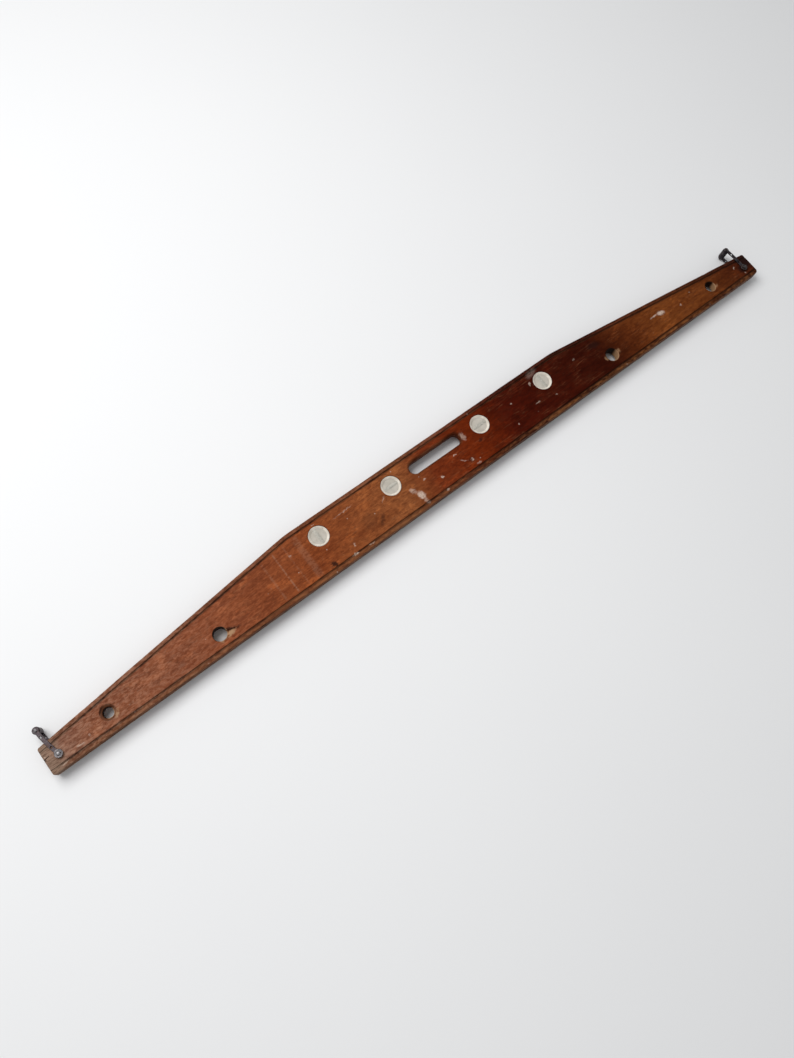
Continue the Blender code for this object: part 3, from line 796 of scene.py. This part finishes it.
def board_rings():
    """The board's section all round: worn, rounded edges that vary along the outline."""
    points = rounded_outline(board_corners(), OUTLINE_STEP)
    normals = inward_normals(points)
    wear, front_round, back_round = [], [], []
    for point in points:
        place = Vector((point.x * 22.0, point.y * 22.0, 0.0))
        small = noise.noise(place * 7.0 + Vector((0, 0, 3.0)))
        slow = noise.noise(place)
        wear.append(0.00012 + 0.0001 * slow + 0.00012 * max(0.0, small))
        nick = max(0.0, noise.noise(place * 4.0 + Vector((9.0, 0, 0))) - 0.42) * 0.004
        front_round.append(EDGE_ROUNDING + 0.00045 * slow + nick)
        back_round.append(EDGE_ROUNDING + 0.00045 * noise.noise(place + Vector((0, 5.0, 0))))

    def rounded(face_z, side, radii, angle):
        """A ring of a rounded edge; side is 1 at the front face and -1 at the back."""
        return [(p + n * (w + r * (1 - math.sin(angle)))).to_3d()
                + Vector((0, 0, face_z - side * r * (1 - math.cos(angle))))
                for p, n, w, r in zip(points, normals, wear, radii)]

    angles = [math.radians(90 * step / EDGE_STEPS) for step in range(EDGE_STEPS + 1)]
    rings = [rounded(FRONT_Z, 1, front_round, angle) for angle in angles]
    for share in (0.7, 0.5, 0.3):
        side_z = BACK_Z + (FRONT_Z - BACK_Z) * share
        rings.append([(p + n * w).to_3d() + Vector((0, 0, side_z))
                      for p, n, w in zip(points, normals, wear)])
    return rings + [rounded(BACK_Z, -1, back_round, angle) for angle in reversed(angles)]


def rim_levels(rounding, sink=0.0):
    """(depth, offset) from above the face down a hole's rim: a rounded lip that turns into
    the wall, or into a 45 degree countersink of width sink."""
    lip, first, sweep = (rounding * 0.5, 10, 35) if sink else (rounding, 12, 78)
    steps = 5 if rounding < COARSE_ROUNDING else 10
    levels = []
    for step in range(1, steps + 1):
        angle = math.radians(first + sweep * step / steps)
        levels.append((lip * (1 - math.cos(angle)), sink + lip * (1 - math.sin(angle))))
    levels.insert(0, (-CUT_PAST, levels[0][1]))
    if sink:
        depth, offset = levels[-1]
        levels.append((depth + offset, 0.0))
    return levels


def hole_cutter(name, outline, levels):
    """A through cutter, alike at both faces: outline(offset) is the hole's outline grown."""
    heights = [(FRONT_Z - depth, offset) for depth, offset in levels]
    heights += [(BACK_Z + depth, offset) for depth, offset in reversed(levels)]
    rings = [[point.to_3d() + Vector((0, 0, z)) for point in outline(offset)]
             for z, offset in heights]
    return new_object(name, stack(rings), None)


def round_outline(x, y, radius, segments, wobble=0.0):
    def outline(offset):
        points = []
        for index in range(segments):
            angle = math.tau * index / segments
            unit = Vector((math.cos(angle), math.sin(angle)))
            drift = wobble * noise.noise(Vector((unit.x * 2, unit.y * 2, x * 50)))
            points.append(Vector((x, y)) + unit * (radius + offset + drift))
        return points
    return outline


def slot_outline(centre):
    """Half circles at the two ends, with points along the straight runs between them."""
    end_radius = SLOT_HEIGHT / 2
    straight = SLOT_LENGTH / 2 - end_radius
    round_steps, straight_steps = 24, 12

    def outline(offset):
        radius = end_radius + offset
        points = []
        for side in (1, -1):
            for step in range(round_steps + 1):
                angle = math.radians(-90 + 180 * step / round_steps)
                angle += 0 if side == 1 else math.pi
                points.append(centre.to_2d() + Vector((side * straight, 0))
                              + Vector((math.cos(angle), math.sin(angle))) * radius)
            for step in range(1, straight_steps):
                along = side * straight * (1 - 2 * step / straight_steps)
                points.append(centre.to_2d() + Vector((along, side * radius)))
        return points
    return outline


def scribed_line(name, start, end, face_z, seed):
    """A wire half sunk in the face, whose radius wavers, to cut one scribed line."""
    start, end = Vector(start), Vector(end)
    run = end - start
    count = max(2, round(run.length / LINE_STEP))
    across = Vector((-run.y, run.x)).normalized()
    sides = 8
    rings = []
    for index in range(count + 1):
        spot = start + run * index / count
        drift = noise.noise(Vector((spot.x * 30, seed, 0))) * 0.00012
        radius = LINE_RADIUS + 0.00024 * noise.noise(Vector((spot.x * 55, seed, 4.0)))
        ring = []
        for side in range(sides):
            angle = math.tau * side / sides
            foot = spot + across * (drift + radius * math.cos(angle))
            ring.append(foot.to_3d() + Vector((0, 0, face_z + radius * math.sin(angle))))
        rings.append(ring)
    return new_object(name, stack(rings), None)


def scribed_lines(face, face_z):
    """The line along the working edge and the three along the other, which lap a little."""
    overrun, lap = 0.004, 0.0008
    reach = HALF_LENGTH + overrun
    drop = GROOVE_MARGIN * math.sqrt(1 + TAPER * TAPER)
    high = HALF_WIDTH - GROOVE_MARGIN
    low = height(END_WIDTH) - drop - TAPER * overrun
    bend_x = KINK_X + (drop - GROOVE_MARGIN) / TAPER
    edge_y = -HALF_WIDTH + GROOVE_MARGIN
    runs = (
        ((-reach, edge_y), (reach, edge_y)),
        ((-reach, low), (-bend_x + lap, high + TAPER * lap)),
        ((-bend_x - lap, high), (bend_x + lap, high)),
        ((bend_x - lap, high + TAPER * lap), (reach, low)),
    )
    return [scribed_line(f"{face}_line_{index}", start, end, face_z, index * 3.7)
            for index, (start, end) in enumerate(runs)]


def gouge(name, place, size, turn):
    """A ragged pebble-shaped cutter of a given half size."""
    work = bmesh.new()
    bmesh.ops.create_icosphere(work, subdivisions=3, radius=1.0)
    for vert in work.verts:
        vert.co *= 1.0 + 0.22 * noise.noise(vert.co * 1.9 + Vector(place) * 90)
    work.transform(Matrix.Translation(place) @ Matrix.Rotation(turn, 4, "Z")
                   @ Matrix.Diagonal((*size, 1.0)))
    return new_object(name, work, None)


# chips out of the board, lengths in millimetres:
# x, height, face (1 front, -1 back), half sizes, turn in degrees
CHIPS = (
    (-370, 14, 1, (3, 1.4, 1.2), 0),
    (324.2, 26.2, 1, (2.2, 3, 0.9), 0),
    (299.8, 25.8, 1, (2.2, 3, 0.9), 0),
    (180, 56.9, 1, (3.4, 2.2, 0.7), 50),
    (-203, 6, 1, (3.4, 2.2, 0.9), 20),
    (-606.6, 21.8, 1, (4.6, 0.5, 1.8), 10),  # a split from the end, and
    (-608.8, 20.3, 1, (2.4, 0.4, 1.4), -34),  # its short branch
    (-609.4, 11, 1, (1.6, 3, 1.2), 0),
    (609, 31, 1, (1.4, 2.8, 1), 0),
    (-20, 0.2, 1, (3, 1, 1.4), 0),
    (228, 0.6, 1, (9, 1.2, 1.3), 0),
    (-321, 0.2, 1, (5, 0.8, 1.1), 0),
    (470, 0.3, 1, (6, 0.9, 1.2), 0),
    (-462, 0.4, 1, (3.6, 1, 1), 0),
    (90, 80.4, 1, (5, 0.8, 1.2), 0),
    (-125, 80.4, 1, (3.2, 0.9, 1), 0),
    (-80, 0.1, -1, (6, 1, 1.2), 0),
    (390, 0.3, -1, (4, 1, 1.1), 0),
    (-530, 0.2, -1, (7, 1, 1.3), 0),
    (150, 80.5, -1, (4, 0.9, 1.1), 0),
)
# corners of the wedge torn out beside a through-hole, in millimetres:
# x, height, depth below the face
TORN_WEDGE = (
    (-366, 12.5, -1),
    (-342.5, 18, -1),
    (-364, 25.2, -1),
    (-365, 22.6, 3.4),
    (-352, 19.4, 1.4),
)


def torn_wedge():
    """A splintered wedge: a steep upper side and a long slope below it."""
    work = bmesh.new()
    for x, above_edge, depth in TORN_WEDGE:
        work.verts.new((x * MM, height(above_edge * MM), FRONT_Z - depth * MM))
    hull = bmesh.ops.convex_hull(work, input=work.verts)
    unused = [item for item in hull["geom_interior"] if isinstance(item, bmesh.types.BMVert)]
    bmesh.ops.delete(work, geom=unused, context="VERTS")
    return new_object("torn_wedge", work, None)


def hole_cutters():
    """Cutters for the slot, the through-holes, the windows and the pivots."""
    slot_centre = box_centre(OPENINGS["hand_slot"])
    cutters = [hole_cutter("slot_cut", slot_outline(slot_centre), rim_levels(SLOT_ROUNDING))]
    for name, (bore, sink) in HOLE_SIZES.items():
        centre = box_centre(OPENINGS[name])
        countersunk = sink - bore > 0.001
        levels = rim_levels(0.0006, sink - bore) if countersunk else rim_levels(0.0008)
        outline = round_outline(centre.x, centre.y, bore, 64, 0.0002)
        cutters.append(hole_cutter(name + "_cut", outline, levels))
    for name in WINDOWS:
        centre = box_centre(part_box(name + "_plaster"))
        outline = round_outline(centre.x, centre.y, WINDOW_RADIUS, 80, 0.0002)
        cutters.append(hole_cutter(name + "_cut", outline, rim_levels(0.0005)))
    for side in ("left", "right"):
        pivot = Vector(JOINTS[side + "_stirrup_swing"]["pos_m"])
        outline = round_outline(pivot.x, pivot.y, PIVOT_BORE, 24)
        cutters.append(hole_cutter(side + "_pivot_cut", outline, rim_levels(0.0003)))
    return cutters


def make_board(material):
    board = new_object("mahogany_board", stack(board_rings()), material)
    cutters = scribed_lines("front", FRONT_Z) + scribed_lines("back", BACK_Z)
    cutters += hole_cutters()
    for index, (x, above_edge, face, size, turn) in enumerate(CHIPS):
        face_z = FRONT_Z if face == 1 else BACK_Z
        place = (x * MM, height(above_edge * MM), face_z)
        size = [length * MM for length in size]
        cutters.append(gouge(f"chip_{index}", place, size, math.radians(turn)))
    cutters.append(torn_wedge())
    carve(board, cutters)
    flat_normals(board)
    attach(board, "board")
    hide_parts("board")


# ---- vial windows
DISH_LIP = 0.0132           # radius of the dish at the face
DISH_WELL = 0.011           # radius of its flat floor
DISH_FLOOR = 0.0044         # height of that floor above the plaster's middle
VIAL_WALL = 0.0011
VIAL_SEGMENTS = 56
VIAL_LINES = (("a", -0.0048), ("b", 0.0048))  # the two painted lines, along the vial
LINE_HALF_WIDTH = 0.00018


def read_window(name):
    """What the pieces of one window share, from the frame."""
    plaster_low, plaster_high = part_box(name + "_plaster")
    vial_low, vial_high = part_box(name + "_vial")
    size = vial_high - vial_low
    centre = (plaster_low + plaster_high) / 2
    along_x = size.x > size.y
    lay = Matrix.Translation(centre)
    if not along_x:
        lay = lay @ Matrix.Rotation(math.radians(90), 4, "Z")
    return SimpleNamespace(
        name=name,
        centre=centre,
        along_x=along_x,
        face=(plaster_high.z - plaster_low.z) / 2,
        outer=(plaster_high.x - plaster_low.x) / 2,
        vial_radius=size.z / 2,
        vial_half=max(size.x, size.y) / 2,
        lay=lay @ Matrix.Rotation(math.radians(90), 4, "Y"),
    )


def make_cast_plaster(window, material):
    """Plaster dished on both faces, with a bed cut through it for the vial."""
    half = [(0.004, DISH_FLOOR), (0.0085, DISH_FLOOR + 0.0001)]
    half += arc(DISH_WELL - 0.001, DISH_FLOOR + 0.001, 0.001, -90, -35, 4)
    half += arc(DISH_LIP + 0.0004, window.face - 0.0007, 0.0007, 145, 90, 4)
    half += arc(window.outer - 0.0005, window.face - 0.0005, 0.0005, 90, 0, 3)
    profile = half + [(radius, -z) for radius, z in reversed(half)]
    plaster = turned(window.name + "_cast_plaster", profile, 72,
                     Matrix.Translation(window.centre), material,
                     wobble=0.00022, seed=window.centre.x * 40)
    slack = 0.00008
    bed_radius, bed_half = window.vial_radius + slack, window.vial_half + slack
    bed = ((bed_radius, bed_half), (bed_radius, -bed_half))
    carve(plaster, [turned(window.name + "_bed", bed, VIAL_SEGMENTS, window.lay)], 40.0)
    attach(plaster, "board")
    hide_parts(window.name + "_plaster")


def make_vial(window, material):
    """A tube with one rounded closed end, as one closed profile turned about its axis."""
    inner = window.vial_radius - VIAL_WALL
    inner_end = window.vial_half - VIAL_WALL
    profile = [(inner * 0.5, inner_end), (inner, inner_end - 0.001)]
    profile += [(inner, -inner_end + 0.0012)]
    profile += arc(inner - 0.0012, -inner_end + 0.0012, 0.0012, 0, -80, 4)
    profile += arc(window.vial_radius - 0.0024, -window.vial_half + 0.0024, 0.0024, -85, 0, 6)
    profile += arc(window.vial_radius - 0.001, window.vial_half - 0.001, 0.001, 0, 85, 4)
    glass = turned(window.name + "_glass", profile, VIAL_SEGMENTS, window.lay, material, True)
    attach(glass, "board")
    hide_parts(window.name + "_vial")


def make_old_spirit(window, material):
    """The column of liquid, with its bubble cut out of the top."""
    fill = window.vial_radius - VIAL_WALL + 0.00004
    inner_end = window.vial_half - VIAL_WALL
    column = arc(fill - 0.0012, inner_end - 0.0012, 0.0012, 85, 0, 4)
    column += [(fill, share * window.vial_half * 0.1) for share in range(7, -8, -1)]
    column += arc(fill - 0.0012, -inner_end + 0.0012, 0.0012, 0, -85, 4)
    spirit = turned(window.name + "_old_spirit", column, VIAL_SEGMENTS, window.lay, material)
    bubble = bmesh.new()
    bmesh.ops.create_uvsphere(bubble, u_segments=32, v_segments=20, radius=1.0)
    half_size = (0.0042, 0.0019, 0.0013) if window.along_x else (0.0019, 0.0042, 0.0013)
    bubble.transform(Matrix.Translation(window.centre + Vector((0, 0, fill)))
                     @ Matrix.Diagonal((*half_size, 1.0)))
    carve(spirit, [new_object(window.name + "_bubble", bubble, None)], 50.0)
    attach(spirit, "board")
    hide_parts(window.name + "_spirit")


def make_vial_lines(window, material):
    """Thin painted rings round the vial."""
    skin = window.vial_radius + 0.00003
    proud = skin + 0.00006
    for mark, place in VIAL_LINES:
        band = [(skin, place + LINE_HALF_WIDTH), (proud, place + LINE_HALF_WIDTH * 0.6),
                (proud, place - LINE_HALF_WIDTH * 0.6), (skin, place - LINE_HALF_WIDTH),
                (skin - 0.0001, place)]
        line = turned(f"{window.name}_line_{mark}", band, VIAL_SEGMENTS, window.lay, material,
                      True)
        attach(line, "board")


def make_window(name, materials):
    """Cast plaster dished round a glass vial that holds old spirit and a bubble."""
    window = read_window(name)
    make_cast_plaster(window, materials["plaster"])
    make_vial(window, materials["glass"])
    make_old_spirit(window, materials["spirit"])
    make_vial_lines(window, materials["ink"])
    seal = frame["nodes"][name + "_vial_seal"]
    seal.data.materials.clear()
    seal.data.materials.append(materials["plaster"])


# ---- end stirrups
ARM_WIDTH = 0.005
ARM_EYE_RADIUS = 0.0039
ARM_BOW = 0.0011
ARM_HOLES = (0.0112, 0.0281)
ARM_HOLE_RADIUS = 0.0014
PIN_BORE = 0.002
RIVET_RADII = (0.0025, 0.002)  # head, shank
CROSS_PIN_RADII = (0.0024, 0.0017)
HEAD_GAP = 0.0003           # between a head and what it holds
WASHER_HOLLOW = 0.00022     # wear of the front washers round the rivet


def arm_outline(reach, bow_sign, inset):
    """A bowed strip from the pivot eye at the origin to the pin eye at +Y."""
    sweep = 4 * math.atan(2 * ARM_BOW / reach)
    bend_radius = reach / 2 / math.sin(sweep / 2)
    middle = Vector((-math.sqrt(bend_radius ** 2 - reach ** 2 / 4), reach / 2))
    eye = ARM_EYE_RADIUS - inset
    half_width = ARM_WIDTH / 2 - inset
    neck = math.asin(half_width / eye)
    neck_run = eye * math.cos(neck) / bend_radius
    steps = 24
    sides = []
    for offset in (half_width, -half_width):
        side = []
        for step in range(steps + 1):
            angle = -sweep / 2 + neck_run + (sweep - 2 * neck_run) * step / steps
            waver = 0.00012 * noise.noise(Vector((step * 0.35, offset * 900, bow_sign * 5)))
            swing = bend_radius + offset + waver
            side.append(middle + Vector((swing * math.cos(angle), swing * math.sin(angle))))
        sides.append(side)
    eye_steps = 26
    tip = []
    for step in range(1, eye_steps):
        angle = math.pi - neck - (math.tau - 2 * neck) * step / eye_steps
        tip.append(Vector((eye * math.sin(angle), reach + eye * math.cos(angle))))
    heel = [Vector((point.x, reach - point.y)) for point in tip]
    outline = sides[0] + tip + sides[1][::-1] + heel[::-1]
    return [Vector((bow_sign * point.x, point.y)) for point in outline]


def make_arm(side, face, reach, swung, sign, material):
    node = f"{side}_{face}_arm"
    low_z, high_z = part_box(node)[0].z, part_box(node)[1].z
    ease = 0.00045
    levels = []
    for step in range(4):
        angle = math.radians(90 * step / 3)
        levels.append((high_z - ease * (1 - math.cos(angle)), ease * (1 - math.sin(angle))))
    levels += [(low_z + high_z - z, inset) for z, inset in reversed(levels)]
    rings = [[p.to_3d() + Vector((0, 0, z)) for p in arm_outline(reach, sign, inset)]
             for z, inset in levels]
    arm = new_object(f"{side}_{face}_stirrup_arm", stack(rings), material)
    bores = [(0.0, 0.0, PIVOT_BORE), (0.0, reach, PIN_BORE)]
    for along in ARM_HOLES:
        share = 2 * along / reach - 1
        bores.append((sign * ARM_BOW * (1 - share * share), along, ARM_HOLE_RADIUS))
    soft, flare = 0.0003, 0.0013
    cutters = []
    for index, (x, y, radius) in enumerate(bores):
        profile = ((radius + flare, high_z + 0.001), (radius, high_z - soft),
                   (radius, low_z + soft), (radius + flare, low_z - 0.001))
        cutters.append(turned(f"{node}_bore_{index}", profile, 32, above(Vector((x, y)))))
    carve(arm, cutters)
    flat_normals(arm)
    arm.data.transform(swung)
    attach(arm, side + "_stirrup")
    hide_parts(node)


def make_washer(side, face, pivot, material):
    """A ring whose front side, at the front of the board, is worn hollow to its bore."""
    node = f"{side}_{face}_washer"
    low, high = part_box(node)
    radius = (high.x - low.x) / 2
    ease = 0.00035
    profile = arc(radius - ease, high.z - ease, ease, 90, 0, 4)
    profile += arc(radius - ease, low.z + ease, ease, 0, -90, 4)
    profile += [(PIVOT_BORE + ease, low.z), (PIVOT_BORE, low.z + ease),
                (PIVOT_BORE, high.z - ease), (PIVOT_BORE + ease, high.z),
                (PIVOT_BORE + 0.0018, high.z)]
    if face == "front":
        middle = (low.z + high.z) / 2
        for index, (r, z) in enumerate(profile):
            inward = max(0.0, 1 - (r - PIVOT_BORE) / (radius - PIVOT_BORE))
            if z > middle:
                profile[index] = (r, z - WASHER_HOLLOW * inward)
    washer = turned(f"{side}_{face}_washer_ring", profile, 56, above(pivot), material, True,
                    0.00008, pivot.x)
    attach(washer, "board")
    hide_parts(node)


def peened_end(radius, shank, seat, tip):
    """Profile of a hammered head from its crown out and down to the shank."""
    rise = tip - seat
    points = [(radius * 0.12, tip - rise * 0.02), (radius * 0.35, tip - rise * 0.05)]
    for step in range(6):
        angle = math.radians(78 * (1 - step / 5))
        points.append((radius * (0.45 + 0.55 * math.cos(angle)),
                       seat + rise * math.sin(angle) * 0.9))
    return points + [(shank, seat)]


def head_seats(side, held):
    """Heights of the heads' seats, a gap off the front and the rear of what they hold."""
    return (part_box(f"{side}_front_{held}")[1].z + HEAD_GAP,
            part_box(f"{side}_rear_{held}")[0].z - HEAD_GAP)


def make_pin(name, node, centre, radii, seats, material):
    """A pin peened at both ends: radii of its heads and shank, front and rear seats."""
    low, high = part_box(node)
    profile = peened_end(*radii, seats[0], high.z) + peened_end(*radii, seats[1], low.z)[::-1]
    pin = turned(name, profile, 40, above(centre), material, wobble=0.0001, seed=centre.x)
    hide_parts(node)
    return pin


def make_roller(side, pivot, pin, material):
    """The barrel on the cross pin, worn a little hollow at its middle."""
    low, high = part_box(side + "_roller")
    radius = (high.x - low.x) / 2
    ease, bore_ease = 0.0009, 0.0004
    profile = arc(radius - ease, high.z - ease, ease, 90, 0, 5)
    for share in (0.75, 0.5, 0.25):
        profile.append((radius - 0.0001 * (1 - abs(share - 0.5) * 2),
                        low.z + (high.z - low.z) * share))
    profile += arc(radius - ease, low.z + ease, ease, 0, -90, 5)
    profile += [(PIN_BORE + bore_ease, low.z), (PIN_BORE, low.z + bore_ease),
                (PIN_BORE, high.z - bore_ease), (PIN_BORE + bore_ease, high.z)]
    roller = turned(side + "_barrel_roller", profile, 48, above(pin), material, True,
                    0.00012, pivot.x * 9)
    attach(roller, side + "_roller")
    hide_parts(side + "_roller")


def make_stirrup(side, materials):
    sign = -1 if side == "left" else 1
    pivot = Vector(JOINTS[side + "_stirrup_swing"]["pos_m"])
    pin = Vector(JOINTS[side + "_roller_spin"]["pos_m"])
    run = (pin - pivot).to_2d()
    swung = above(pivot) @ Matrix.Rotation(math.atan2(run.y, run.x) - math.radians(90), 4, "Z")
    for face in ("front", "rear"):
        make_arm(side, face, run.length, swung, sign, materials[side + "_iron"])
        make_washer(side, face, pivot, materials[side + "_washer"])

    rivet = make_pin(side + "_peened_rivet", side + "_pivot_rivet", pivot, RIVET_RADII,
                     head_seats(side, "washer"), materials[side + "_rivet"])
    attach(rivet, "board")
    cross_pin = make_pin(side + "_peened_cross_pin", side + "_cross_pin", pin,
                         CROSS_PIN_RADII, head_seats(side, "arm"), materials[side + "_washer"])
    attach(cross_pin, side + "_stirrup")
    make_roller(side, pivot, pin, materials[side + "_iron"])


# ---- floor
def make_floor():
    graph = Graph("pale_floor")
    drift = graph.noise(graph.point, 1.3, 2.0)
    color = graph.mix(drift, (0.8, 0.8, 0.805), (0.83, 0.83, 0.83))
    material = graph.finish(color, graph.band(drift, 0.3, 0.7, 0.7, 0.8))
    work = bmesh.new()
    bmesh.ops.create_grid(work, x_segments=4, y_segments=4, size=6.0)
    new_object("floor", work, material)


make_camera()
make_world(0.45)
make_area_light("window", (-0.62, 0.95, 1.85), (1.0, -4.6, -3.0), 1.5, 41.0)
make_floor()

# metals of the end fittings: name, dark, middle and rubbed colours, share of rust, shine
METALS = {
    "left_iron": ("grey_iron", (0.038, 0.029, 0.032), (0.08, 0.064, 0.069),
                  (0.18, 0.165, 0.165), 0.3, 0.3),
    "right_iron": ("dark_iron", (0.018, 0.014, 0.017), (0.05, 0.04, 0.046),
                   (0.18, 0.17, 0.165), 0.35, 0.4),
    "left_rivet": ("rivet_steel", (0.1, 0.095, 0.1), (0.22, 0.21, 0.215),
                   (0.6, 0.58, 0.58), 0.12, 0.8),
    "right_rivet": ("dark_rivet_steel", (0.022, 0.017, 0.017), (0.07, 0.06, 0.06),
                    (0.26, 0.25, 0.25), 0.3, 0.6),
    "left_washer": ("washer_steel", (0.06, 0.055, 0.058), (0.15, 0.14, 0.144),
                    (0.36, 0.345, 0.345), 0.15, 0.55),
    "right_washer": ("dark_washer_steel", (0.024, 0.018, 0.017), (0.075, 0.062, 0.058),
                     (0.24, 0.23, 0.23), 0.45, 0.5),
}
FINISHES = {
    "plaster": make_plaster(),
    "glass": make_glass(),
    "spirit": make_spirit(),
    "ink": make_ink(),
}
for key, recipe in METALS.items():
    FINISHES[key] = make_metal(*recipe)

make_board(make_wood())
for window_name in WINDOWS:
    make_window(window_name, FINISHES)
for end in ("left", "right"):
    make_stirrup(end, FINISHES)

bpy.context.view_layer.update()
